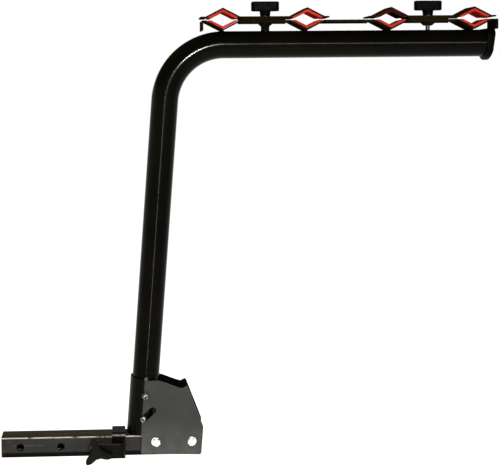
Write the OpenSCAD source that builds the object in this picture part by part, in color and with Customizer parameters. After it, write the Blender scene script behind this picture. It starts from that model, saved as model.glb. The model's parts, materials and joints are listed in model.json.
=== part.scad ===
// Hitch mounted bike rack that carries four bikes.
// +X runs back from the vehicle, +Z is up, and the origin is the middle of the front hitch pin hole.

/* [Shank] */
// Width and height of the square shank
shank_w = 50.8; // [50.2:0.1:50.8]
// Wall thickness of the shank
shank_wall = 4.8; // [3:0.1:6]
// Corner radius of the shank
shank_r = 6; // [5:0.5:8]
// Length of shank ahead of the front pin hole
shank_front = 45; // [35:1:60]
// Distance from the front pin hole to the shank's rear end
shank_rear = 424; // [420:1:430]
// Diameter of the two hitch pin holes
pin_hole_d = 16.7; // [16:0.1:17.5]
// Distance between the two hitch pin holes
pin_hole_step = 95.5; // [80:0.5:110]

/* [Anti-rattle collar] */
// Where the collar's front face sits along the shank
collar_x = 216.8; // [215:0.1:217]
// Length of the collar along the shank
collar_len = 31.8; // [30:0.1:32]
// Outer width of the collar
collar_w = 63.5; // [62:0.1:65]
// Thickness of the plate that carries the tightening screw
arm_t = 5; // [4:0.5:5]
// Height of that plate
arm_h = 35; // [32:1:38]
// Gap between the collar's side and the plate's outer run
arm_reach = 28; // [26:1:30]
// Distance of the tightening screw from the front pin hole
screw_x = 182.6; // [180:0.1:184]
// Diameter of the tightening screw
screw_d = 12; // [10:1:12]
// Reach of each lobe of the tightening knob
lobe_reach = 35.6; // [32:0.1:38]

/* [Pivot bracket] */
// Thickness of the folded bracket plate
plate_t = 4; // [3:0.5:5]
// Height of the pivot above the shank's axis
pivot_z = 66.4; // [66:0.1:68]
// Distance of the pivot from the front pin hole
pivot_x = 291.5; // [291:0.1:293]
// Width of the inclined slot
slot_w = 15.8; // [15.7:0.1:16]
// Slope of the slot from the bracket's rear direction
slot_slope = 47; // [46.5:0.1:47.5]
// Travel between the centres of the slot's round ends
slot_run = 30.5; // [29:0.5:32]
// Height of the two bracket bolts above the shank's axis
bolt_z = 11.8; // [10:0.1:13]
// Diameter of the bracket bolts
bolt_d = 10; // [8:1:10]
// Width across flats of the bracket bolts' heads and nuts
bolt_hex = 17; // [16:1:19]

/* [Mast and arm] */
// Outer diameter of the bent tube
tube_d = 63.5; // [63:0.1:63.5]
// Wall thickness of the bent tube
tube_wall = 2.5; // [2:0.1:3]
// Lean of the mast from upright
lean = 4.16; // [4:0.01:4.3]
// Rise of the arm from level
arm_rise = 0.35; // [0:0.05:0.5]
// Distance from the pivot to the corner where the two tube axes meet
mast_len = 884.7; // [800:0.1:950]
// Distance from that corner to the end of the arm
arm_len = 748.5; // [748:0.1:749.5]
// Radius of the bend at the tube's axis
bend_r = 140; // [130:1:145]

/* [Clamps] */
// Distance between two bikes
bike_step = 197; // [196:1:198]
// Distance from the tube corner to the first pocket
first_pocket = 125; // [124:1:126]
// Width of the carrier bar and of the upper jaws
bar_w = 70; // [60:1:76]
// Thickness of the carrier bar and of the upper jaws
bar_t = 3.5; // [3:0.1:3.5]
// Half the width of each V
vee_half = 39.5; // [38:0.5:40]
// Depth of each V
vee_depth = 20.1; // [20:0.1:20.4]
// Thickness of the rubber pads
pad_t = 5; // [4:0.5:5.5]
// Diameter of the clamp studs
stud_d = 10; // [8:1:10]

/* [Hidden] */
$fn = 64;
fit = 0.05;
slack = 0.4;
tube_r = tube_d / 2;
mast_gap = 0.55;
inner_y = tube_r + mast_gap;
outer_y = inner_y + plate_t;
shank_y = shank_w / 2;
collar_y = collar_w / 2;
bolt_x = [320.6, 406.7];
bend_turn = 90 - lean - arm_rise;
tangent = bend_r * tan(bend_turn / 2);
corner_x = pivot_x + mast_len * sin(lean);
corner_z = pivot_z + mast_len * cos(lean);
mast_foot = 17;

// The cross pin rests over the bracket's top edge and drops into a seat when the mast is folded back
pin_r = 5;
pin_z = 98.5;
seat = [85, 84.5];

// Heights above the arm's axis
bar_z = tube_r + bar_t / 2 + vee_depth;
bar_top = bar_z + bar_t / 2;
jaw_low = bar_top + 5.25;
jaw_z = jaw_low + bar_t / 2;
jaw_top = jaw_low + bar_t;
washer_t = 2;
knob_low = jaw_top + washer_t;
head_low = knob_low + 11.4;
head_top = head_low + 22.4;
stud_top = head_top - 6;
vee_slope = atan(vee_depth / vee_half);
pad_lift = (bar_t / 2 + pad_t / 2 + 0.02) / cos(vee_slope);
tab_x = [first_pocket - 47.3, first_pocket + 3 * bike_step + 55];
tab_drop = 21.5;
clamp_x = [first_pocket + bike_step / 2 + 4, first_pocket + 2.5 * bike_step - 3];

// Positions out from the shank's side, all on the -Y side
arm_in = collar_y + arm_reach;
arm_out = arm_in + arm_t;
knob_in = arm_out + 2;
knob_out = knob_in + 15.5;
screw_tip = 36;
lock_z = 57.8;
lock_d = 8;
pivot_d = 8;
bush_d = 15.4;
lock_nut_t = 6;
lock_washer_t = 1.6;

// Frame of the bracket and the mast: origin at the pivot, z along the mast
module at_pivot() {
    translate([pivot_x, 0, pivot_z]) rotate([0, lean, 0]) children();
}

// Frame of the arm: origin at the tube corner, x along the arm
module at_arm() {
    translate([corner_x, 0, corner_z]) rotate([0, -arm_rise, 0]) children();
}

// A drawing in x and z, drawn out along Y and centred on the rack's middle plane
module across(width) {
    rotate([90, 0, 0]) linear_extrude(height = width, center = true) children();
}

// A round bar along Y from one y to another
module rod(d, from, to) {
    translate([0, to, 0]) rotate([90, 0, 0]) cylinder(d = d, h = to - from);
}

// A hexagon along Y from one y to another
module hex(flats, from, to) {
    translate([0, to, 0]) rotate([90, 0, 0]) rotate(30)
        cylinder(d = flats / cos(30), h = to - from, $fn = 6);
}

module rounded_square(w, r) {
    square([w, w - 2 * r], center = true);
    square([w - 2 * r, w], center = true);
    for (x = [-1, 1], y = [-1, 1])
        translate([x * (w / 2 - r), y * (w / 2 - r)]) circle(r = r);
}

// A square tube along X
module square_tube(from, length, outer, inner, outer_r, inner_r) {
    translate([from, 0, 0]) rotate([90, 0, 90]) linear_extrude(height = length)
        difference() {
            rounded_square(outer, outer_r);
            rounded_square(inner, inner_r);
        }
}

// Sheet metal of thickness t that follows a path
module bent_strip(path, t) {
    for (i = [0:len(path) - 2]) {
        step = path[i + 1] - path[i];
        translate(path[i]) rotate(atan2(step.y, step.x)) translate([0, -t / 2])
            square([norm(step), t]);
    }
    for (i = [1:len(path) - 2]) translate(path[i]) circle(d = t);
}

// ---- Base ----

module shank_tube() {
    color("#2b2b29") difference() {
        square_tube(-shank_front, shank_front + shank_rear, shank_w, shank_w - 2 * shank_wall,
            shank_r, 2);
        for (x = [0, pin_hole_step]) translate([x, 0, 0]) rod(pin_hole_d, -shank_w, shank_w);
        for (x = bolt_x) translate([x, 0, bolt_z]) rod(bolt_d + slack, -shank_w, shank_w);
    }
}

// Side view of the bracket: the wrap in front of the mast and the two plates behind it
module bracket_outline() {
    polygon([[-38, 95.9], [-6, 95.9], [-6, 93.2], [10, 93.2], [14, 94.2], [30, 94.2], [43, 91.2],
        [56, 87], [78, 80.4], [89.5, 81.4], [96.9, 85.3], [100, 82], [143, -9], [143.6, -13],
        [143.4, -75], [140, -78.2], [2.7, -84], [0, -81], [0, -39], [-38, -41.8]]);
}

module bracket_section() {
    difference() {
        union() {
            circle(r = outer_y);
            translate([0, -outer_y]) square([150, 2 * outer_y]);
        }
        circle(r = inner_y);
        translate([0, -inner_y]) square([151, 2 * inner_y]);
    }
}

module slot() {
    circle(d = slot_w);
    translate([slot_run, 0]) circle(d = slot_w);
    translate([0, -slot_w / 2]) square([slot_run, slot_w]);
}

module pivot_bracket() {
    color("#33332f") difference() {
        at_pivot() difference() {
            intersection() {
                translate([0, 0, -100]) linear_extrude(height = 220) bracket_section();
                across(3 * tube_d) bracket_outline();
            }
            across(3 * tube_d) rotate(slot_slope) slot();
            across(3 * tube_d) translate(seat) circle(r = pin_r + 0.4);
            translate([0, 0, lock_z]) rod(lock_d + 2 * fit, -2 * tube_d, 0);
        }
        for (x = bolt_x) translate([x, 0, bolt_z]) rod(bolt_d + slack, -2 * tube_d, 2 * tube_d);
    }
}

module bracket_bolts() {
    color("#e2e2de") for (x = bolt_x) translate([x, 0, bolt_z]) {
        rod(bolt_d, -outer_y - 12.5, outer_y + 2.1);
        hex(bolt_hex, outer_y + 2, outer_y + 8.4);
    }
}

module bracket_washers() {
    color("#d8d8d2") for (x = bolt_x) translate([x, 0, bolt_z]) difference() {
        union() {
            rod(21, -outer_y - 2, -outer_y);
            rod(21, outer_y, outer_y + 2);
        }
        rod(bolt_d + slack, -2 * tube_d, 2 * tube_d);
    }
}

module bracket_nuts() {
    color("#d8d8d2") for (x = bolt_x) translate([x, 0, bolt_z]) difference() {
        hex(bolt_hex, -outer_y - 10.4, -outer_y - 2);
        rod(bolt_d + 2 * fit, -2 * tube_d, 0);
    }
}

module bracket_spacers() {
    color("#8c8c88") for (x = bolt_x) translate([x, 0, bolt_z]) difference() {
        union() {
            rod(22, -inner_y, -shank_y);
            rod(22, shank_y, inner_y);
        }
        rod(bolt_d + slack, -tube_d, tube_d);
    }
}

module lock_bolt_nut() {
    color("#b8b8b4") at_pivot() translate([0, 0, lock_z]) difference() {
        hex(13, -outer_y - lock_nut_t, -outer_y);
        rod(lock_d + 2 * fit, -tube_d, 0);
    }
}

module lock_bolt_washer() {
    face = outer_y + lock_nut_t;
    color("#c8c8c4") at_pivot() translate([0, 0, lock_z]) difference() {
        rod(16, -face - lock_washer_t, -face);
        rod(lock_d + 2 * fit, -tube_d, 0);
    }
}

module lock_bolt() {
    face = outer_y + lock_nut_t + lock_washer_t;
    color("#d8d8d2") at_pivot() translate([0, 0, lock_z]) {
        rod(lock_d, -face - 0.1, -tube_r - 0.15);
        hex(13, -face - 5.3, -face);
    }
}

// ---- Anti-rattle collar ----

module collar() {
    color("#3a3a36") square_tube(collar_x, collar_len, collar_w, shank_w + 2 * slack, 9,
        shank_r + 0.4);
}

// The plate is welded to the collar's side, swings out in a curve and runs forward past the screw
module collar_arm() {
    bend = 12;
    root_x = collar_x + collar_len - bend - 1;
    color("#34342f") difference() {
        linear_extrude(height = arm_h, center = true) difference() {
            union() {
                translate([root_x, -arm_in + bend - arm_t]) intersection() {
                    circle(r = bend);
                    translate([0, -bend]) square(bend);
                }
                translate([root_x, -arm_in - arm_t + bend]) square([bend, arm_reach - bend + arm_t]);
                translate([screw_x, -arm_out]) square([root_x - screw_x, arm_t]);
            }
            translate([root_x, -arm_in + bend - arm_t]) circle(r = bend - arm_t);
            translate([root_x - 1, -arm_in + bend - arm_t])
                square([bend - arm_t + 1, arm_reach]);
        }
        translate([screw_x, 0, 0]) rod(screw_d + 2 * fit, -2 * tube_d, 0);
    }
    color("#34342f") translate([screw_x, 0, 0]) difference() {
        intersection() {
            rod(arm_h, -arm_out, -arm_in);
            translate([-arm_h, -arm_out, -arm_h / 2]) cube([arm_h, arm_t, arm_h]);
        }
        rod(screw_d + 2 * fit, -2 * tube_d, 0);
    }
}

module collar_arm_nut() {
    color("#a8a8a2") translate([screw_x, 0, 0]) difference() {
        hex(19, -arm_in, -arm_in + 10);
        rod(screw_d + 2 * fit, -tube_d, 0);
    }
}

module pressure_pad() {
    color("#9a9a94") translate([screw_x, 0, 0]) difference() {
        rod(20, -screw_tip - 3, -screw_tip + 4);
        rod(8 + 2 * fit, -screw_tip - 4, -screw_tip + 0.1);
    }
}

module tightener_screw() {
    color("#c2c2bc") translate([screw_x, 0, 0]) {
        rod(screw_d, -knob_in - 9, -screw_tip - 3.1);
        rod(8, -screw_tip - 3.2, -screw_tip);
    }
}

module knob_lobes() {
    lobe_w = 13;
    circle(r = 16);
    for (turn = [105:120:345]) rotate(turn) {
        translate([0, -lobe_w / 2]) square([lobe_reach - lobe_w / 2, lobe_w]);
        translate([lobe_reach - lobe_w / 2, 0]) circle(d = lobe_w);
    }
}

module tightener_knob() {
    color("#26272a") translate([screw_x, 0, 0]) difference() {
        translate([0, -knob_in, 0]) rotate([90, 0, 0])
            linear_extrude(height = knob_out - knob_in) knob_lobes();
        rod(screw_d, -knob_in - 9, 0);
    }
}

// ---- Pivot ----

module pivot_bolt() {
    color("#c8c8c2") at_pivot() {
        rod(pivot_d, -outer_y - 1.1, outer_y + 10);
        hex(13, -outer_y - 6.3, -outer_y - 1);
    }
}

// The mast turns on this bush, which rides in both slots
module pivot_bush() {
    color("#8f8f88") at_pivot() difference() {
        rod(bush_d, -outer_y - 1, outer_y + 1);
        rod(pivot_d + 2 * fit, -tube_d, tube_d);
    }
}

module pivot_nut() {
    color("#d0d0ca") at_pivot() difference() {
        hex(13, outer_y + 1, outer_y + 9);
        rod(pivot_d + 2 * fit, 0, 2 * tube_d);
    }
}

// ---- Mast and arm ----

// The bent tube's path with a round section of radius r
module bent_rod(r, over) {
    at_pivot() translate([0, 0, -mast_foot - over])
        cylinder(r = r, h = mast_len + mast_foot + over - tangent);
    at_arm() {
        translate([tangent, 0, -bend_r]) rotate([90, 0, 0]) rotate(90)
            rotate_extrude(angle = bend_turn) translate([bend_r, 0]) circle(r = r);
        translate([tangent, 0, 0]) rotate([0, 90, 0]) cylinder(r = r, h = arm_len - tangent + over);
    }
}

module mast_tube() {
    color("#17150f") difference() {
        bent_rod(tube_r, 0);
        bent_rod(tube_r - tube_wall, 1);
        at_pivot() {
            rod(bush_d + 2 * fit, -tube_d, tube_d);
            translate([0, 0, pin_z]) rod(2 * pin_r, -tube_d, tube_d);
        }
        at_arm() for (x = clamp_x) translate([x, 0, 0]) cylinder(d = stud_d, h = tube_d);
    }
}

module cross_pin() {
    color("#b9b9b3") at_pivot() translate([0, 0, pin_z]) rod(2 * pin_r, -outer_y - 6, outer_y + 6);
}

// Slanted cap with a round lip below and flats on top and at the sides
module arm_end_cap() {
    lip = 8.5;
    cap_y = 35;
    cap_top = tube_r + 1.5;
    color("#101010") at_arm() {
        difference() {
            intersection() {
                across(2 * cap_y) polygon([[arm_len - 1, -tube_d], [arm_len + 8, -tube_d],
                    [arm_len + 20.5, cap_top], [arm_len - 1, cap_top]]);
                translate([arm_len - 5, 0, 0]) rotate([0, 90, 0])
                    cylinder(r = tube_r + lip, h = 30);
            }
            translate([arm_len - 10, 0, 0]) rotate([0, 90, 0]) cylinder(r = tube_r + 0.02, h = 10);
        }
        translate([arm_len - 22, 0, 0]) rotate([0, 90, 0])
            cylinder(r = tube_r - tube_wall - 0.02, h = 22);
    }
}

// ---- Clamps ----

function pocket_x(i) = first_pocket + i * bike_step;

function vee_points(x, z, depth) = [[x - vee_half, z], [x, z + depth], [x + vee_half, z]];

module carrier_bar() {
    vees = [for (i = [0:3]) for (p = vee_points(pocket_x(i), bar_z, -vee_depth)) p];
    path = concat([[tab_x[0], bar_z - tab_drop], [tab_x[0], bar_z]], vees,
        [[tab_x[1], bar_z], [tab_x[1], bar_z - tab_drop]]);
    flange = 2.5;
    color("#1b1913") at_arm() difference() {
        union() {
            across(bar_w) bent_strip(path, bar_t);
            for (i = [0:2], side = [-1, 1]) translate([0, side * (bar_w / 2 - 1.25), 0])
                across(2.5) translate([pocket_x(i) + vee_half + 2, bar_z - bar_t / 2 - flange])
                    square([bike_step - 2 * vee_half - 4, flange + 1]);
        }
        for (x = clamp_x) translate([x, 0, tube_r]) cylinder(d = stud_d + slack, h = tube_d);
    }
}

module clamp_studs() {
    color("#a9a9a2") at_arm() for (x = clamp_x) translate([x, 0, tube_r - tube_wall])
        cylinder(d = stud_d, h = stud_top - tube_r + tube_wall);
}

// A flared seat under the carrier bar, on a stub or on the bare stud
module stud_spacer(n, stub) {
    flare_low = bar_z - bar_t / 2 - 10;
    color("#1e1c16") at_arm() translate([clamp_x[n], 0, 0]) difference() {
        union() {
            translate([0, 0, flare_low]) cylinder(r1 = 10, r2 = 17, h = 6);
            translate([0, 0, flare_low + 6]) cylinder(r = 17, h = 4);
            if (stub) translate([0, 0, tube_r]) cylinder(r = 10, h = flare_low - tube_r);
        }
        translate([0, 0, tube_r - 1]) cylinder(d = stud_d, h = tube_d);
        rotate([0, 90, 0]) cylinder(r = tube_r, h = tube_d, center = true);
    }
}

module stud_spacer_1() {
    stud_spacer(0, true);
}

module stud_spacer_2() {
    stud_spacer(1, false);
}

module lower_pad(i) {
    top = bar_top - 0.2;
    color("#c0392b") at_arm() across(bar_w) intersection() {
        bent_strip(vee_points(pocket_x(i), bar_z + pad_lift, -vee_depth), pad_t);
        translate([pocket_x(i) - vee_half, tube_r]) square([2 * vee_half, top - tube_r]);
    }
}

module upper_pad(i) {
    low = jaw_low + 0.2;
    color("#c0392b") at_arm() across(bar_w) intersection() {
        bent_strip(vee_points(pocket_x(i), jaw_z - pad_lift, vee_depth), pad_t);
        translate([pocket_x(i) - vee_half, low]) square([2 * vee_half, tube_r]);
    }
}

module upper_jaw(n) {
    lip = 12;
    flange = 4.4;
    first = vee_points(pocket_x(2 * n), jaw_z, vee_depth);
    second = vee_points(pocket_x(2 * n + 1), jaw_z, vee_depth);
    path = concat([[first[0].x - lip, jaw_z]], first, second, [[second[2].x + lip, jaw_z]]);
    color("#191712") at_arm() difference() {
        union() {
            across(bar_w) bent_strip(path, bar_t);
            for (side = [-1, 1]) translate([0, side * (bar_w / 2 - 1.25), 0]) across(2.5)
                translate([first[2].x + 2, jaw_low - flange])
                    square([second[0].x - first[2].x - 4, flange + 1]);
        }
        translate([clamp_x[n], 0, 0]) cylinder(d = stud_d + 1, h = 2 * tube_d);
    }
}

module clamp_washer(n) {
    color("#b5b5ae") at_arm() translate([clamp_x[n], 0, jaw_top]) difference() {
        cylinder(d = 26, h = washer_t);
        translate([0, 0, -1]) cylinder(d = stud_d + slack, h = washer_t + 2);
    }
}

module t_knob(n) {
    head_r = 11;
    color("#121212") at_arm() translate([clamp_x[n], 0, 0]) difference() {
        union() {
            translate([0, 0, knob_low]) cylinder(r1 = 12, r2 = 13.5, h = head_low - knob_low);
            translate([0, 0, head_low]) linear_extrude(height = head_top - head_low) {
                square([66 - 2 * head_r, 2 * head_r], center = true);
                for (x = [-1, 1]) translate([x * (33 - head_r), 0]) circle(r = head_r);
                circle(r = 13.5);
            }
        }
        translate([0, 0, knob_low - 1]) cylinder(d = stud_d + 0.6, h = stud_top - knob_low + 3);
        translate([0, 0, knob_low - 1]) cylinder(d = 17 / cos(30), h = 9, $fn = 6);
    }
}

module knob_insert(n) {
    color("#c9a24a") at_arm() translate([clamp_x[n], 0, knob_low]) difference() {
        cylinder(d = 17 / cos(30), h = 8, $fn = 6);
        translate([0, 0, -1]) cylinder(d = stud_d + 2 * fit, h = 10);
    }
}

shank_tube();
pivot_bracket();
bracket_bolts();
bracket_washers();
bracket_nuts();
bracket_spacers();
lock_bolt_nut();
lock_bolt_washer();
lock_bolt();
collar();
collar_arm();
collar_arm_nut();
pressure_pad();
tightener_screw();
tightener_knob();
pivot_bolt();
pivot_bush();
pivot_nut();
mast_tube();
cross_pin();
arm_end_cap();
carrier_bar();
clamp_studs();
stud_spacer_1();
stud_spacer_2();
lower_pad(0);  // lower_pad_1
lower_pad(1);  // lower_pad_2
lower_pad(2);  // lower_pad_3
lower_pad(3);  // lower_pad_4
upper_jaw(0);  // upper_jaw_1
upper_jaw(1);  // upper_jaw_2
upper_pad(0);  // upper_pad_1
upper_pad(1);  // upper_pad_2
upper_pad(2);  // upper_pad_3
upper_pad(3);  // upper_pad_4
clamp_washer(0);  // clamp_washer_1
clamp_washer(1);  // clamp_washer_2
t_knob(0);  // t_knob_1
t_knob(1);  // t_knob_2
knob_insert(0);  // knob_insert_1
knob_insert(1);  // knob_insert_2
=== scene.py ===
import json
import math
from math import cos, pi, radians, sin

import bmesh
import bpy
from mathutils import Matrix, Vector


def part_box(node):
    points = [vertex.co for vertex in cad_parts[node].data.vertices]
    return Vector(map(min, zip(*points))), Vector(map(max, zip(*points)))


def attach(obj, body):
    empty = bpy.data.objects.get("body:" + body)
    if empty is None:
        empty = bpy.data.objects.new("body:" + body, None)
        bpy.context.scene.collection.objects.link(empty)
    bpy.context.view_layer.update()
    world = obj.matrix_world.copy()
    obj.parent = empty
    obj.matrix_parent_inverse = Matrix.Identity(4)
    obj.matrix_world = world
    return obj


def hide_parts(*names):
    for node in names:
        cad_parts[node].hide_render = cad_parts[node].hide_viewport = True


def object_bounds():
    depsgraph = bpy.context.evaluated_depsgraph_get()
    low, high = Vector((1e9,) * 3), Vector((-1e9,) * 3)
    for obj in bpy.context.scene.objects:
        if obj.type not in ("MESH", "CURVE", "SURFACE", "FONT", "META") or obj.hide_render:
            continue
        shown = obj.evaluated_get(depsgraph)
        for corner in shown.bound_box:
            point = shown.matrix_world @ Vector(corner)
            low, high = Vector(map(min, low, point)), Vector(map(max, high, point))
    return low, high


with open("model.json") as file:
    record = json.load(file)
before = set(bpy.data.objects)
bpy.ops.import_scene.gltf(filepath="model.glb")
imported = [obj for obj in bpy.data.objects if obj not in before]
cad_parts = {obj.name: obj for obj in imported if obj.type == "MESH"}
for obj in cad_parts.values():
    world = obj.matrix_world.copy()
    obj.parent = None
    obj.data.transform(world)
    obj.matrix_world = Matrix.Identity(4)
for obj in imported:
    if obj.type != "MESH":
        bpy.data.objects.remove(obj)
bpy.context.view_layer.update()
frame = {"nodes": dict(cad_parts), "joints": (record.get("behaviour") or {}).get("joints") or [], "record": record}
MM = 0.001
record = frame["record"]
body_of_node = {n: b for b, nodes in record["behaviour"]["bodies"].items() for n in nodes}
slot_of_node = {s["node"]: s["material_slot"] for s in record["subparts"]}
joints = {j["name"]: j for j in frame["joints"]}

# The rack's named dimensions, the same as in the part's source
JAW_RISE = 62.35 * MM
TUBE_R = 31.75 * MM
TUBE_WALL = 2.5 * MM
TUBE_FOOT = 17 * MM
BEND_R = 140 * MM
ARM_LENGTH = 748.5 * MM
VEE_HALF = 39.5 * MM
VEE_DEPTH = 20.1 * MM
PAD_THICK = 5 * MM
PLATE_OUTSIDE = 35.4 * MM
STUD_R = 5 * MM
BOLT_R = 5 * MM
BOLT_FLATS = 17 * MM
BOLT_HEAD = 6.4 * MM
THREAD_PITCH = 1.5 * MM
KNOB_STEM = 11.4 * MM
KNOB_HEAD = 22.4 * MM
KNOB_REACH = 33 * MM
KNOB_END_R = 11 * MM
LOBE_REACH = 35.6 * MM
LOBE_VALLEY = 13.5 * MM
CAP_LIP = 8.5 * MM


# ---- Places worked out from the record ----

def axes(origin, x, z):
    """A matrix whose x and z axes point the given ways from origin."""
    x = x.normalized()
    z = z.normalized()
    m = Matrix((x, z.cross(x), z)).transposed().to_4x4()
    m.translation = origin
    return m


def along_y(x, y, z):
    """A frame whose z axis points to the near side, -Y."""
    return Matrix.Translation((x, y, z)) @ Matrix.Rotation(pi / 2, 4, "X")


stud_at = [Vector(joints[f"jaw_{n}_swing"]["pos_m"]) for n in (1, 2)]
arm_up = Vector(joints["clamp_1_lift"]["axis"])
arm_dir = (stud_at[1] - stud_at[0]).normalized()
arm_point = stud_at[0] - arm_up * JAW_RISE
pivot = Vector(joints["mast_tilt"]["pos_m"])
mast_up = (Vector(joints["lock_bolt_turn"]["pos_m"]) - pivot).normalized()
SIDE = Vector((0, 1, 0))
mast_length = (arm_point - pivot).dot(arm_up) / mast_up.dot(arm_up)
corner = pivot + mast_up * mast_length
arm_at = axes(corner, arm_dir, arm_up)
mast_at = axes(pivot, SIDE.cross(mast_up), mast_up)
stud_x = [(arm_at.inverted() @ p).x for p in stud_at]
screw_at = Vector(joints["tightener_turn"]["pos_m"])
shank_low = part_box("shank_tube")[0].z
pin_holes = [m["pos_m"] for m in record["mounts"] if m["kind"] == "bore"]


# ---- Procedural materials ----

class Graph:
    """A short way to wire up one material's nodes."""

    def __init__(self, name):
        self.material = bpy.data.materials.new(name)
        self.material.use_nodes = True
        self.tree = self.material.node_tree
        self.shader = self.tree.nodes["Principled BSDF"]
        self.place = self.add("ShaderNodeTexCoord").outputs["Object"]

    def add(self, kind, inputs=None, **settings):
        node = self.tree.nodes.new(kind)
        for key, value in settings.items():
            setattr(node, key, value)
        for key, value in (inputs or {}).items():
            self.put(node.inputs[key], value)
        return node

    def put(self, socket, value):
        if isinstance(value, bpy.types.NodeSocket):
            self.tree.links.new(value, socket)
        else:
            socket.default_value = value

    def noise(self, scale, detail=4, stretch=(1, 1, 1)):
        mapping = self.add("ShaderNodeMapping", {"Vector": self.place, "Scale": stretch})
        node = self.add("ShaderNodeTexNoise", {"Vector": mapping.outputs[0], "Scale": scale,
                                               "Detail": detail, "Roughness": 0.55})
        return node.outputs["Fac"]

    def spread(self, value, low, high, out_low=0.0, out_high=1.0):
        node = self.add("ShaderNodeMapRange", {"Value": value, "From Min": low, "From Max": high,
                                               "To Min": out_low, "To Max": out_high})
        return node.outputs[0]

    def times(self, a, b):
        return self.add("ShaderNodeMath", {0: a, 1: b}, operation="MULTIPLY").outputs[0]

    def mix(self, amount, a, b):
        node = self.add("ShaderNodeMix", {0: amount, 6: a, 7: b}, data_type="RGBA")
        return node.outputs[2]

    def axis(self, kind, index):
        """One axis of the object's own coordinates ("Object") or of its normal ("Normal")."""
        vector = self.add("ShaderNodeTexCoord").outputs[kind]
        return self.add("ShaderNodeSeparateXYZ", {0: vector}).outputs[index]

    def absolute(self, value):
        return self.add("ShaderNodeMath", {0: value}, operation="ABSOLUTE").outputs[0]

    def edges(self, radius):
        """1 along the object's sharp edges, 0 on its flats."""
        rounded = self.add("ShaderNodeBevel", {"Radius": radius}, samples=4)
        flat = self.add("ShaderNodeNewGeometry").outputs["Normal"]
        match = self.add("ShaderNodeVectorMath", {0: rounded.outputs[0], 1: flat},
                         operation="DOT_PRODUCT").outputs["Value"]
        return self.spread(match, 0.995, 0.93)

    def corner_line(self):
        """Picks out the middle of a rounded corner between a side and the top, the band that takes a painted
        highlight line.
        """
        up = self.axis("Normal", 2)
        return self.times(self.spread(up, 0.22, 0.40), self.spread(up, 0.75, 0.58))

    def bump(self, height, strength, distance):
        node = self.add("ShaderNodeBump", {"Height": height, "Strength": strength,
                                           "Distance": distance})
        self.put(self.shader.inputs["Normal"], node.outputs[0])

    def finish(self, color, roughness, metallic=0.0, specular=0.5):
        self.put(self.shader.inputs["Base Color"], color)
        self.put(self.shader.inputs["Roughness"], roughness)
        self.put(self.shader.inputs["Metallic"], metallic)
        self.put(self.shader.inputs["Specular IOR Level"], specular)
        return self.material


def rgb(*srgb):
    """A linear colour from 0-255 screen values."""
    return tuple((c / 255) ** 2.2 for c in srgb) + (1.0,)


def powder_coat(name, base, tint, rough, specular, peel, worn, corner_highlight=0.0):
    """Baked paint: cloudy colour, orange peel, pale scuffs and, when corner_highlight is set, a painted highlight
    line along the rounded upper corners.
    """
    g = Graph(name)
    cloud = g.spread(g.noise(9, 5), 0.35, 0.7)
    color = g.mix(cloud, base, tint)
    scuffs = g.spread(g.noise(160, 6, (1, 1, 3)), 0.60, 0.70)
    wear = g.times(g.times(g.edges(1.2 * MM), scuffs), worn)
    color = g.mix(wear, color, rgb(150, 146, 138))
    if corner_highlight:
        # painted highlight: a pale, patchy line along the rounded upper corners
        line = g.times(g.corner_line(), g.spread(g.noise(90, 4), 0.3, 0.5))
        color = g.mix(g.times(line, corner_highlight), color, rgb(150, 148, 145))
    smear = g.noise(28, 6, (1, 1, 0.35))
    roughness = g.spread(smear, 0.3, 0.75, rough * 0.8, rough * 1.3)
    g.bump(g.noise(620, 2), peel, 0.3 * MM)
    return g.finish(color, roughness, specular=specular)


def bracket_coat(name):
    """A grey that stands for the lit flat outsides of the two cheeks, and a near-black painted shade on the rolled
    wrap and inside, which are also glossier.
    """
    g = Graph(name)
    cloud = g.spread(g.noise(11, 5), 0.35, 0.7)
    grey = g.mix(cloud, rgb(60, 62, 61), rgb(69, 71, 70))
    speck = g.spread(g.noise(190, 4), 0.66, 0.74)
    # paler in patches towards the bottom
    low = g.spread(g.axis("Object", 2), 70 * MM, -25 * MM)
    paler_low_patches = g.times(low, g.spread(g.noise(30, 5), 0.2, 0.6))
    grey = g.mix(g.times(paler_low_patches, 0.75), grey, rgb(92, 94, 94))
    grey = g.mix(g.times(speck, 0.35), grey, rgb(120, 120, 118))
    # painted shade: near black for the rolled wrap and the insides of the cheeks
    dark = g.mix(cloud, rgb(7, 7, 5), rgb(12, 11, 8))
    depth = g.absolute(g.axis("Object", 1))
    outside = g.spread(depth, PLATE_OUTSIDE - 1.4 * MM, PLATE_OUTSIDE)
    # only flat faces on the outside of the cheeks keep the lit grey
    flat = g.times(outside, g.spread(g.absolute(g.axis("Normal", 1)), 0.994, 0.9995))
    color = g.mix(flat, dark, grey)
    scuffs = g.spread(g.noise(170, 6), 0.60, 0.70)
    color = g.mix(g.times(g.times(g.edges(1.0 * MM), scuffs), 0.4), color, rgb(140, 138, 132))
    rough = g.add("ShaderNodeMix", {0: flat, 2: 0.30, 3: 0.60}, data_type="FLOAT").outputs[0]
    g.bump(g.noise(480, 3), 0.14, 0.3 * MM)
    return g.finish(color, rough, specular=0.07)


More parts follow.
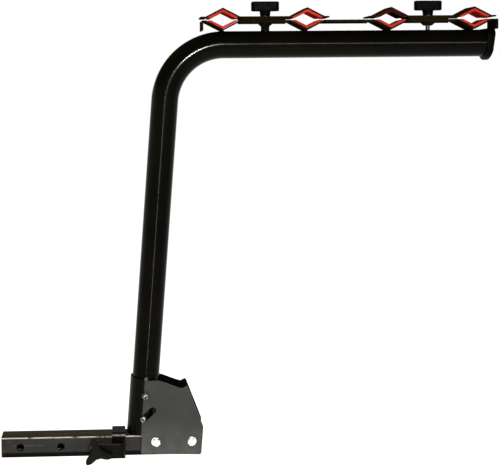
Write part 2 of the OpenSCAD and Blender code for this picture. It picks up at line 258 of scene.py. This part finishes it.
def shank_coat(name):
    """The shank's paint has rubbed thin: scratches along its length and rust at its open end. It also carries
    painted light: a highlight line along its upper corners, an olive tone on its top faces, shade on its underside
    and low on its sides, and a dark ring around each pin hole.
    """
    g = Graph(name)
    cloud = g.spread(g.noise(14, 6), 0.3, 0.7)
    side = g.mix(cloud, rgb(36, 36, 35), rgb(46, 46, 45))
    # painted light: the top faces take an olive tone of their own, set apart from the sides by which way they face
    top = g.mix(cloud, rgb(40, 38, 26), rgb(52, 48, 34))
    up = g.axis("Normal", 2)
    color = g.mix(g.spread(up, 0.5, 0.95), side, top)
    # painted shade: faces turned downwards go near black
    color = g.mix(g.spread(up, -0.05, -0.5), color, rgb(9, 9, 8))
    # painted shade: a dark band low on the sides, above the rounded bottom corner
    low = g.spread(g.axis("Object", 2), shank_low + 13.5 * MM, shank_low + 11.5 * MM)
    color = g.mix(g.times(low, 0.9), color, rgb(14, 14, 13))
    # painted highlight: a near-white, patchy line along the rounded upper corners
    corner_highlight = g.spread(g.noise(70, 4, (0.6, 1, 1)), 0.32, 0.48)
    color = g.mix(g.times(g.times(g.corner_line(), corner_highlight), 0.9), color, rgb(212, 211, 208))
    lines = g.spread(g.noise(130, 5, (0.05, 1, 1)), 0.66, 0.72)
    patchy = g.spread(g.noise(22, 3), 0.5, 0.62)
    color = g.mix(g.times(g.times(lines, patchy), 0.4), color, rgb(110, 108, 104))
    flat = g.add("ShaderNodeVectorMath", {0: g.place, 1: (1, 0, 1)}, operation="MULTIPLY")
    # a dark ring just around each pin hole
    for hole in pin_holes:
        reach = g.add("ShaderNodeVectorMath", {0: flat.outputs[0], 1: hole}, operation="DISTANCE")
        darkening = g.spread(reach.outputs["Value"], 10.6 * MM, 9.4 * MM)
        color = g.mix(g.times(darkening, 0.8), color, rgb(12, 12, 11))
    near_end = g.spread(g.axis("Object", 0), -20 * MM, -46 * MM)
    rust = g.times(near_end, g.spread(g.noise(60, 6), 0.5, 0.62))
    color = g.mix(g.times(rust, 0.6), color, rgb(112, 62, 38))
    chips = g.times(g.edges(1.0 * MM), g.spread(g.noise(210, 5), 0.60, 0.68))
    color = g.mix(g.times(chips, 0.5), color, rgb(165, 162, 156))
    roughness = g.spread(g.noise(34, 6, (0.3, 1, 1)), 0.3, 0.75, 0.20, 0.36)
    g.bump(g.noise(520, 3), 0.08, 0.3 * MM)
    gloss = g.times(g.spread(up, 0.3, 0.8, 0.14, 0.02), g.spread(low, 0, 1, 1, 0.2))
    return g.finish(color, roughness, specular=gloss)


def plated(name, base, tint, rough, darkening=0.0):
    """Zinc or plain steel: fine turning marks, a faint spangle and patches of grime."""
    g = Graph(name)
    color = g.mix(g.spread(g.noise(90, 5), 0.35, 0.7), base, tint)
    color = g.mix(g.times(g.spread(g.noise(230, 3), 0.60, 0.48), darkening), color, rgb(24, 22, 18))
    roughness = g.spread(g.noise(260, 4, (1, 0.2, 1)), 0.3, 0.7, rough * 0.7, rough * 1.3)
    g.bump(g.noise(900, 3, (1, 0.15, 1)), 0.15, 0.15 * MM)
    return g.finish(color, roughness, metallic=1.0)


def rubber(name, base, tint):
    """Moulded rubber: matte, with a fine pebble and a painted highlight along its edges."""
    g = Graph(name)
    color = g.mix(g.spread(g.noise(45, 5), 0.35, 0.7), base, tint)
    # painted highlight: a paler salmon along the edges
    color = g.mix(g.times(g.edges(1.5 * MM), 0.30), color, rgb(226, 104, 88))
    g.bump(g.noise(700, 3), 0.25, 0.3 * MM)
    return g.finish(color, g.spread(g.noise(120, 4), 0.3, 0.7, 0.5, 0.7), specular=0.0)


def moulded(name, base, tint, rough):
    """Black plastic with a spark-eroded grain."""
    g = Graph(name)
    color = g.mix(g.spread(g.noise(30, 5), 0.35, 0.7), base, tint)
    color = g.mix(g.times(g.edges(1.0 * MM), 0.15), color, rgb(60, 60, 56))
    grain = g.add("ShaderNodeTexVoronoi", {"Vector": g.place, "Scale": 1400})
    g.bump(grain.outputs["Distance"], 0.3, 0.2 * MM)
    return g.finish(color, g.spread(g.noise(80, 4), 0.3, 0.7, rough * 0.85, rough * 1.2),
                    specular=0.025)


paint = {
    "mast_paint": powder_coat("gloss_black_coat", rgb(12, 12, 8), rgb(19, 18, 12), rough=0.12,
                              specular=0.05, peel=0.012, worn=0.25),
    "bar_paint": powder_coat("bar_black_coat", rgb(22, 20, 12), rgb(36, 31, 19), rough=0.50,
                             specular=0.0, peel=0.10, worn=0.5),
    "bracket_paint": bracket_coat("bracket_grey_coat"),
    "collar_paint": powder_coat("collar_grey_coat", rgb(14, 13, 10), rgb(23, 22, 18), rough=0.26,
                                specular=0.05, peel=0.08, worn=0.6, corner_highlight=0.85),
    "shank_paint": shank_coat("worn_shank_coat"),
    "zinc": plated("bright_zinc", rgb(236, 238, 236), rgb(216, 218, 222), 0.30),
    "steel": plated("plain_steel", rgb(176, 176, 172), rgb(150, 150, 146), 0.34),
    "brass": plated("turned_brass", rgb(214, 184, 116), rgb(196, 164, 98), 0.30),
    "pad_rubber": rubber("red_rubber", rgb(190, 58, 46), rgb(166, 44, 34)),
    "knob_plastic": moulded("black_grained_plastic", rgb(6, 6, 4), rgb(10, 10, 7), 0.55),
    "cap_plastic": moulded("black_cap_plastic", rgb(7, 7, 5), rgb(12, 12, 9), 0.42),
}
dull_zinc = plated("dull_zinc", rgb(150, 148, 142), rgb(104, 102, 96), 0.34, darkening=0.95)
dark_steel = plated("dark_steel", rgb(70, 69, 64), rgb(50, 49, 45), 0.40, darkening=0.5)
grey_plastic = moulded("grey_grained_plastic", rgb(25, 25, 22), rgb(35, 35, 31), 0.50)
# a much darker rubber, used for upper_pad_3
darkened_rubber = rubber("darkened_rubber", rgb(48, 20, 14), rgb(30, 20, 13))

# Pieces that look different from the rest of their material slot
special = {"lock_bolt": dull_zinc, "pivot_bolt": dull_zinc, "pivot_bush": dark_steel,
           "lock_bolt_washer": dark_steel, "lock_bolt_nut": dark_steel, "cross_pin": dark_steel,
           "clamp_studs": dark_steel, "clamp_washer_1": dark_steel, "clamp_washer_2": dark_steel,
           "tightener_knob": grey_plastic, "upper_pad_3": darkened_rubber}


# ---- Mesh helpers ----

SHARP = 32


def piece(name, bm, matrix, stands_for, body=None, slot=None, angle=SHARP, level=False):
    """Turns a bmesh, drawn in matrix's own frame, into a finished piece of the object.

    With level set, shading stays flat on large faces beside rounded edges."""
    node = stands_for[0] if stands_for else None
    bmesh.ops.remove_doubles(bm, verts=bm.verts, dist=0.002 * MM)
    bmesh.ops.recalc_face_normals(bm, faces=bm.faces)
    bm.transform(matrix)
    mesh = bpy.data.meshes.new(name)
    bm.to_mesh(mesh)
    bm.free()
    mesh.shade_smooth()
    mesh.set_sharp_from_angle(angle=radians(angle))
    obj = bpy.data.objects.new(name, mesh)
    bpy.context.scene.collection.objects.link(obj)
    slot = slot or slot_of_node[node]
    mesh.materials.append(special.get(node, paint[slot]))
    if level:
        obj.modifiers.new("level_shading", "WEIGHTED_NORMAL").keep_sharp = True
    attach(obj, body or body_of_node[node])
    if stands_for:
        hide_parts(*stands_for)


def refined(node, width):
    """The CAD node's own shape with its facets merged and its sharp edges rounded."""
    bm = bmesh.new()
    bm.from_mesh(frame["nodes"][node].data)
    bmesh.ops.remove_doubles(bm, verts=bm.verts, dist=0.005 * MM)
    bmesh.ops.dissolve_limit(bm, angle_limit=radians(0.6), verts=bm.verts, edges=bm.edges)
    sharp = [e for e in bm.edges if len(e.link_faces) == 2
             and e.calc_face_angle(0) > radians(SHARP)]
    bmesh.ops.bevel(bm, geom=sharp, offset=width, segments=2, profile=0.5, affect="EDGES",
                    clamp_overlap=True)
    piece(node + "_body", bm, Matrix.Identity(4), [node], level=True)


def ring(bm, points):
    return [bm.verts.new(p) for p in points]


def skin(bm, rings, loop=False):
    """Quads between neighbouring rings, with the two end rings capped or joined in a loop."""
    pairs = list(zip(rings, rings[1:])) + ([(rings[-1], rings[0])] if loop else [])
    for a, b in pairs:
        for i in range(len(a)):
            k = (i + 1) % len(a)
            bm.faces.new((a[i], a[k], b[k], b[i]))
    if not loop:
        bm.faces.new(rings[0][::-1])
        bm.faces.new(rings[-1])


def lathe(bm, profile, steps=48, matrix=Matrix.Identity(4)):
    """Turns (radius, height) points about z. A first or last radius of 0 closes to a flat face."""
    loft(bm, [[matrix @ Vector((r * cos(a), r * sin(a), h)) for a in round_the_circle(steps)]
              for r, h in profile])


def loft(bm, layers):
    """Skins a stack of equal-length outlines, each a list of 3-D points."""
    skin(bm, [ring(bm, layer) for layer in layers])


def round_the_circle(steps):
    """Angles evenly spaced over a full turn."""
    return [2 * pi * i / steps for i in range(steps)]


def rounded_outline(corners, radius, steps):
    """A closed 2-D outline with every corner rounded by an arc."""
    out = []
    count = len(corners)
    for i in range(count):
        p = Vector(corners[i])
        a = (Vector(corners[i - 1]) - p).normalized()
        b = (Vector(corners[(i + 1) % count]) - p).normalized()
        half = a.angle(b) / 2
        reach = radius / math.tan(half)
        start, end = p + a * reach, p + b * reach
        middle = p + (a + b).normalized() * (radius / sin(half))
        from_angle = math.atan2(*(start - middle).yx)
        turn = (math.atan2(*(end - middle).yx) - from_angle + pi) % (2 * pi) - pi
        for s in range(steps + 1):
            at = from_angle + turn * s / steps
            out.append(middle + Vector((cos(at), sin(at))) * radius)
    return out


# ---- Mast tube ----

def make_mast_tube():
    turn = arm_dir.angle(-mast_up)
    tangent = BEND_R / math.tan(turn / 2)
    arm_start = corner + arm_dir * tangent
    mast_end = corner - mast_up * tangent
    centre = arm_start - arm_up * BEND_R
    path = [(pivot - mast_up * TUBE_FOOT, mast_up), (mast_end, mast_up)]
    bend_steps = 56
    sweep = pi - turn
    for i in range(1, bend_steps):
        out = Matrix.Rotation(sweep * i / bend_steps, 3, SIDE) @ (mast_end - centre)
        path.append((centre + out, SIDE.cross(out).normalized()))
    path += [(arm_start, arm_dir), (corner + arm_dir * ARM_LENGTH, arm_dir)]
    bm = bmesh.new()
    shells = []
    for r in (TUBE_R, TUBE_R - TUBE_WALL):
        rings = []
        for at, ahead in path:
            up = ahead.cross(SIDE)
            rings.append(ring(bm, [at + (SIDE * cos(a) + up * sin(a)) * r
                                   for a in round_the_circle(96)]))
        shells.append(rings)
    outer, inner = shells
    skin(bm, outer + inner[::-1], loop=True)
    piece("mast_tube_body", bm, Matrix.Identity(4), ["mast_tube"])


# ---- Pads ----

def make_pad(node, upper):
    """A rubber V with soft edges that lines one V of the metal."""
    low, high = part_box(node)
    middle = arm_at.inverted() @ ((low + high) / 2)
    half_y = (high.y - low.y) / 2
    slope = math.atan2(VEE_DEPTH, VEE_HALF)
    rise = PAD_THICK / cos(slope)
    side = -1 if upper else 1
    height = (high.z - low.z) / 2
    half = 2 * height / math.tan(slope)
    inner_half = half - rise / math.tan(slope)
    outline = [(-half, height), (0, -height), (half, height), (inner_half, height),
               (0, rise - height), (-inner_half, height)]
    soft = rounded_outline(outline, 1.1 * MM, 3)
    edge = 1.2 * MM
    layers = []
    stations = [(-half_y, 0.80), (-half_y + edge * 0.3, 0.93), (-half_y + edge, 1.0),
                (half_y - edge, 1.0), (half_y - edge * 0.3, 0.93), (half_y, 0.80)]
    for y, keep in stations:
        inset = (1 - keep) * edge * 2
        layers.append([(p.x * (1 - inset / half), y,
                        side * (p.y - inset * 0.4 * (1 if p.y > 0 else -1))) for p in soft])
    bm = bmesh.new()
    loft(bm, layers)
    piece(node + "_rubber", bm, arm_at @ Matrix.Translation(middle), [node], angle=40)


# ---- Knobs ----

def make_t_knob(n):
    """A T-handle: a fluted stem under a bar with round ends and a ribbed side."""
    node = f"t_knob_{n}"
    low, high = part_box(node)
    base_z = (arm_at.inverted() @ low.lerp(high, 0.5)).z - (KNOB_STEM + KNOB_HEAD) / 2
    at = arm_at @ Matrix.Translation((stud_x[n - 1], 0, base_z))
    bm = bmesh.new()
    flutes = 8
    layers = []
    for r, h, depth in ((10.6, 0, 0.0), (11.6, 0.6, 0.5), (12.0, 2, 1.0), (12.6, 9.0, 1.0),
                        (13.4, KNOB_STEM / MM - 0.4, 0.3), (13.4, KNOB_STEM / MM + 1, 0.0)):
        points = []
        for a in round_the_circle(96):
            flute = max(0.0, cos(flutes * a)) ** 2 * depth * 1.1
            points.append(((r - flute) * MM * cos(a), (r - flute) * MM * sin(a), h * MM))
        layers.append(points)
    loft(bm, layers)

    def head_points(grow, z, ribs=0):
        """The bar's outline: two round ends and two long sides, ribbed if ribs is 1."""
        points = []
        side_steps = 44
        straight = KNOB_REACH - KNOB_END_R
        for end in (1, -1):
            for i in range(17):
                a = -pi / 2 + pi * i / 16
                points.append((end * (straight + (KNOB_END_R + grow) * cos(a)),
                               end * (KNOB_END_R + grow) * sin(a), z))
            for i in range(1, side_steps):
                x = straight - 2 * straight * i / side_steps
                groove = 0.7 * MM * ribs * (1 if i % 4 == 2 else 0)
                points.append((end * x, end * (KNOB_END_R + grow - groove), z))
        return points

    foot = KNOB_STEM
    top = KNOB_STEM + KNOB_HEAD
    soft = 2.2 * MM
    loft(bm, [head_points(-soft, foot), head_points(-soft * 0.3, foot + soft * 0.35),
              head_points(0, foot + soft), head_points(0, foot + soft * 1.3, ribs=1),
              head_points(0, top - soft * 1.6, ribs=1), head_points(0, top - soft * 1.3),
              head_points(-soft * 0.35, top - soft * 0.35), head_points(-soft, top),
              head_points(-soft * 2.2, top - 0.5 * MM)])
    piece(node + "_grip", bm, at, [node], angle=38)


def make_tightener_knob():
    """Three lobes with scooped sides between them, a raised hub and a recessed centre."""
    low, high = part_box("tightener_knob")
    thick = high.y - low.y
    first_lobe = radians(105)

    def outline(scale, z):
        points = []
        for a in round_the_circle(144):
            wave = (1 + cos(3 * (a - first_lobe))) / 2
            r = LOBE_VALLEY + (LOBE_REACH - LOBE_VALLEY) * wave ** 2.6
            points.append((r * scale * cos(a), r * scale * sin(a), z))
        return points

    bm = bmesh.new()
    soft = 2.4 * MM
    loft(bm, [outline(0.90, 0), outline(0.97, soft * 0.35), outline(1.0, soft),
              outline(1.0, thick - soft), outline(0.97, thick - soft * 0.35),
              outline(0.90, thick - soft * 0.02), outline(0.62, thick - 1.6 * MM)])
    hub = ((9.5, 3), (9.5, 0.9), (8.8, 0.2), (5.2, 0.2), (4.8, 1.5))
    lathe(bm, [(r * MM, thick - depth * MM) for r, depth in hub])
    piece("tightener_knob_grip", bm, along_y(screw_at.x, high.y, 0), ["tightener_knob"], angle=42)


# ---- End cap ----

def make_end_cap():
    """A plug-in cap: a round flange, flat on top and at its sides, with a slanted face."""
    reach = TUBE_R + CAP_LIP
    top = TUBE_R + 1.5 * MM
    half_y = 35 * MM
    back = ARM_LENGTH - 1 * MM

    def face_x(z):
        return ARM_LENGTH + 8 * MM + 12.5 * MM * (z + 2 * TUBE_R) / (top + 2 * TUBE_R)

    def layer(inset, x_of):
        points = []
        for a in round_the_circle(96):
            r = reach - inset
            y = max(-half_y + inset, min(half_y - inset, r * cos(a)))
            z = min(top - inset, r * sin(a))
            points.append((x_of(z), y, z))
        return points

    edge = 2.0 * MM
    bm = bmesh.new()
    loft(bm, [layer(edge * 0.7, lambda z: back), layer(0, lambda z: back + edge * 0.5),
              layer(0, lambda z: face_x(z) - edge),
              layer(edge * 0.3, lambda z: face_x(z) - edge * 0.3),
              layer(edge, face_x), layer(edge * 2.6, lambda z: face_x(z) - 0.8 * MM)])
    piece("arm_end_cap_moulding", bm, arm_at, ["arm_end_cap"], angle=42)


# ---- Fasteners ----

def add_hexagon(bm, flats, height, matrix, spin):
    """A hexagonal nut or bolt head with chamfered corners on its outer face."""
    corner_r = flats / 2 / cos(pi / 6)

    def points(limit, z):
        out = []
        for a in round_the_circle(36):
            flat = flats / 2 / cos((a - spin + pi / 6) % (pi / 3) - pi / 6)
            r = min(flat, limit)
            out.append(matrix @ Vector((r * cos(a), r * sin(a), z)))
        return out

    drop = (corner_r - flats / 2) * 0.6
    loft(bm, [points(flats / 2 * 0.99, 0), points(corner_r, drop * 0.6),
              points(corner_r, height - drop), points(flats / 2 * 0.97, height)])


def add_thread(bm, radius, length, matrix, start=0.0):
    """A threaded end as a stack of V-shaped ridges, closed by a small chamfer."""
    profile = [(radius * 0.9, start)]
    count = max(1, int((length - start) / THREAD_PITCH))
    for i in range(count):
        base = start + i * THREAD_PITCH
        profile += [(radius * 0.9, base + THREAD_PITCH * 0.1), (radius, base + THREAD_PITCH * 0.5),
                    (radius * 0.9, base + THREAD_PITCH * 0.9)]
    profile += [(radius * 0.82, start + count * THREAD_PITCH)]
    lathe(bm, profile, 32, matrix)


def make_bracket_fasteners():
    """Bolts with their heads on the far side and nuts on the near side."""
    low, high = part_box("bracket_bolts")
    nut_low, nut_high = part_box("bracket_nuts")
    z = (low.z + high.z) / 2
    reach = BOLT_FLATS / 2 / cos(pi / 6)
    bolts = bmesh.new()
    nuts = bmesh.new()
    for n, x in enumerate((low.x + reach, high.x - reach)):
        shaft = along_y(x, high.y - 6 * MM, z)
        lathe(bolts, [(BOLT_R, 0), (BOLT_R, nut_high.y - low.y)], 32, shaft)
        head = Matrix.Translation((x, high.y - BOLT_HEAD, z)) @ Matrix.Rotation(-pi / 2, 4, "X")
        add_hexagon(bolts, BOLT_FLATS, BOLT_HEAD, head, spin=0.4 + n)
        add_thread(bolts, BOLT_R, nut_low.y - low.y, along_y(x, nut_low.y, z))
        add_hexagon(nuts, BOLT_FLATS, nut_high.y - nut_low.y, along_y(x, nut_high.y, z),
                    spin=0.2 + 0.5 * n)
    piece("bracket_bolt_set", bolts, Matrix.Identity(4), ["bracket_bolts"])
    piece("bracket_nut_set", nuts, Matrix.Identity(4), ["bracket_nuts"])


def make_studs():
    """Studs that are plain where they leave the arm and threaded above the carrier bar."""
    low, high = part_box("clamp_studs")
    foot = TUBE_R - TUBE_WALL
    length = high.z - low.z - 4.5 * MM
    plain = 26 * MM
    bm = bmesh.new()
    for x in stud_x:
        at = arm_at @ Matrix.Translation((x, 0, foot))
        lathe(bm, [(STUD_R, 0), (STUD_R, plain)], 32, at)
        add_thread(bm, STUD_R, length, at, start=plain)
    piece("clamp_stud_pair", bm, Matrix.Identity(4), ["clamp_studs"])


def bead(bm, path, radius, seed):
    """A rippled weld bead laid along a path of points."""
    layers = []
    last = len(path) - 1
    for i, p in enumerate(path):
        ahead = (path[min(i + 1, last)] - path[max(i - 1, 0)]).normalized()
        side = ahead.cross(Vector((0.3, 0.1, 1))).normalized()
        up = ahead.cross(side)
        end = min(1.0, 0.45 + 0.3 * min(i, last - i))
        r = radius * end * (1 + 0.13 * cos(i * 2.2 + seed))
        layers.append([p + (side * cos(a) + up * sin(a)) * r for a in round_the_circle(10)])
    loft(bm, layers)


def make_welds():
    """Beads where each V of the carrier bar meets the arm, at both sides of its fold."""
    bm = bmesh.new()
    reach = 12 * MM
    count = 17
    for n in range(4):
        low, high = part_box(f"lower_pad_{n + 1}")
        middle = (arm_at.inverted() @ low.lerp(high, 0.5)).x
        for side in (-1, 1):
            path = []
            for i in range(count):
                y = reach * (2 * i / (count - 1) - 1)
                drop = TUBE_R - math.sqrt(TUBE_R ** 2 - y * y)
                x = middle + side * (2.2 * MM + drop * 0.9)
                path.append(arm_at @ Vector((x, y, TUBE_R - drop + 0.3 * MM)))
            bead(bm, path, 2.0 * MM, n * 1.7 + side)
    piece("carrier_bar_welds", bm, Matrix.Identity(4), [], body="mast", slot="bar_paint")


# How far each of these CAD shapes has its sharp edges rounded, in millimetres
ROUNDED = {"shank_tube": 0.5, "pivot_bracket": 0.8, "collar": 0.9, "collar_arm": 1.0,
           "carrier_bar": 0.6, "upper_jaw_1": 0.6, "upper_jaw_2": 0.6, "stud_spacer_1": 0.5,
           "stud_spacer_2": 0.5, "cross_pin": 0.8, "pressure_pad": 0.6, "lock_bolt": 0.7,
           "lock_bolt_nut": 0.6, "pivot_bolt": 0.8, "pivot_bush": 0.5, "pivot_nut": 0.6,
           "collar_arm_nut": 0.8, "bracket_washers": 0.35, "lock_bolt_washer": 0.3,
           "clamp_washer_1": 0.3, "clamp_washer_2": 0.3}

for make in (make_mast_tube, make_tightener_knob, make_end_cap, make_studs, make_welds):
    make()
for n in (1, 2):
    make_t_knob(n)
for n in (1, 2, 3, 4):
    make_pad(f"lower_pad_{n}", upper=False)
    make_pad(f"upper_pad_{n}", upper=True)
for node, width in ROUNDED.items():
    refined(node, width * MM)

for node, obj in frame["nodes"].items():
    obj.data.materials.clear()
    obj.data.materials.append(special.get(node, paint[slot_of_node[node]]))


# ---- Stage, light and camera ----

FLOOR_HALF = 14.0
FLOOR_DROP = 0.42
RACK_MIDDLE = (0.45, 0, 0.6)
FLASH_AT = (0.5, -2.36, 1.1)
SOFTBOX_AT = (0.4, -0.5, 3.2)
BOUNCE_AT = (-1.6, -1.2, 2.0)
CAMERA_AT = (0.2502, -2.5121, 0.8676)
CAMERA_YAW, CAMERA_PITCH, CAMERA_ROLL = radians(3.0), radians(4.5), radians(-0.16)
CAMERA_LENS = 76.8888
CAMERA_SHIFT = 0.14


def make_floor():
    """A plain pale floor that glows a little less on the photographer's side."""
    floor_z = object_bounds()[0].z - FLOOR_DROP
    bm = bmesh.new()
    corners = ((-1, -1), (1, -1), (1, 1), (-1, 1))
    bm.faces.new(ring(bm, [(x * FLOOR_HALF, y * FLOOR_HALF, floor_z) for x, y in corners]))
    mesh = bpy.data.meshes.new("floor")
    bm.to_mesh(mesh)
    bm.free()
    mesh.shade_smooth()
    floor = bpy.data.objects.new("floor", mesh)
    bpy.context.scene.collection.objects.link(floor)
    g = Graph("pale_floor")
    tone = g.mix(g.spread(g.noise(2, 3), 0.3, 0.7), rgb(250, 250, 250), rgb(246, 246, 246))
    mesh.materials.append(g.finish(tone, 0.9, specular=0.1))
    g.put(g.shader.inputs["Emission Color"], tone)
    glow = g.spread(g.axis("Object", 1), -1.5, 1.2, 0.55, 1.0)
    g.put(g.shader.inputs["Emission Strength"], glow)


def make_light(name, at, aim, size, power, color=(1, 1, 1)):
    """A rectangular area light the camera does not see, size metres wide and high."""
    data = bpy.data.lights.new(name, "AREA")
    data.shape = "RECTANGLE"
    data.size, data.size_y = size
    data.energy = power
    data.color = color
    light = bpy.data.objects.new(name, data)
    light.location = at
    light.rotation_mode = "QUATERNION"
    light.rotation_quaternion = (Vector(aim) - Vector(at)).to_track_quat("-Z", "Y")
    light.visible_camera = False
    bpy.context.scene.collection.objects.link(light)
    return light


def make_world():
    """White behind the rack, dimmer on the photographer's side and dark higher up."""
    world = bpy.data.worlds.new("studio")
    world.use_nodes = True
    tree = world.node_tree
    place = tree.nodes.new("ShaderNodeTexCoord")
    split = tree.nodes.new("ShaderNodeSeparateXYZ")
    tree.links.new(place.outputs["Generated"], split.inputs[0])
    fades = []
    for axis, ends in ((2, (0.17, 0.30, 1.0, 0.06)), (1, (-0.5, 0.2, 0.55, 1.0))):
        fade = tree.nodes.new("ShaderNodeMapRange")
        for key, value in zip(("From Min", "From Max", "To Min", "To Max"), ends):
            fade.inputs[key].default_value = value
        tree.links.new(split.outputs[axis], fade.inputs["Value"])
        fades.append(fade.outputs[0])
    both = tree.nodes.new("ShaderNodeMath")
    both.operation = "MULTIPLY"
    for i, fade in enumerate(fades):
        tree.links.new(fade, both.inputs[i])
    tree.links.new(both.outputs[0], tree.nodes["Background"].inputs["Strength"])
    tree.nodes["Background"].inputs["Color"].default_value = (1, 1, 1, 1)
    bpy.context.scene.world = world


def make_lights():
    """A small flash, a soft top light and a warm bounce, with lights that only give glints."""
    make_light("flash", FLASH_AT, RACK_MIDDLE, (0.13, 0.13), 22)
    softbox = make_light("top_softbox", SOFTBOX_AT, RACK_MIDDLE, (2.6, 1.6), 26, (1, 0.99, 0.96))
    softbox.visible_glossy = False
    bounce = make_light("warm_bounce", BOUNCE_AT, (0.7, 0, 1.0), (0.6, 0.6), 50, (1, 0.80, 0.52))
    bounce.visible_glossy = False
    for name, at, size, power in (("flash_glint", FLASH_AT, (0.11, 0.11), 60),
                                  ("level_strip", (1.1, -2.36, 1.1), (1.8, 0.03), 24),
                                  ("upright_strip", (0.27, -2.36, 0.05), (0.03, 1.6), 20)):
        make_light(name, at, (at[0], 0, at[2]), size, power).visible_diffuse = False


def make_camera():
    data = bpy.data.cameras.new("camera")
    data.sensor_width = 36
    data.lens = CAMERA_LENS
    data.shift_x = CAMERA_SHIFT
    data.shift_y = -CAMERA_SHIFT
    camera = bpy.data.objects.new("camera", data)
    camera.matrix_world = (Matrix.Translation(CAMERA_AT)
                           @ Matrix.Rotation(-CAMERA_YAW, 4, "Z")
                           @ Matrix.Rotation(pi / 2 - CAMERA_PITCH, 4, "X")
                           @ Matrix.Rotation(CAMERA_ROLL, 4, "Z"))
    bpy.context.scene.collection.objects.link(camera)
    bpy.context.scene.camera = camera


make_floor()
make_lights()
make_world()
make_camera()
make_bracket_fasteners()
bpy.context.scene.view_settings.view_transform = "Standard"
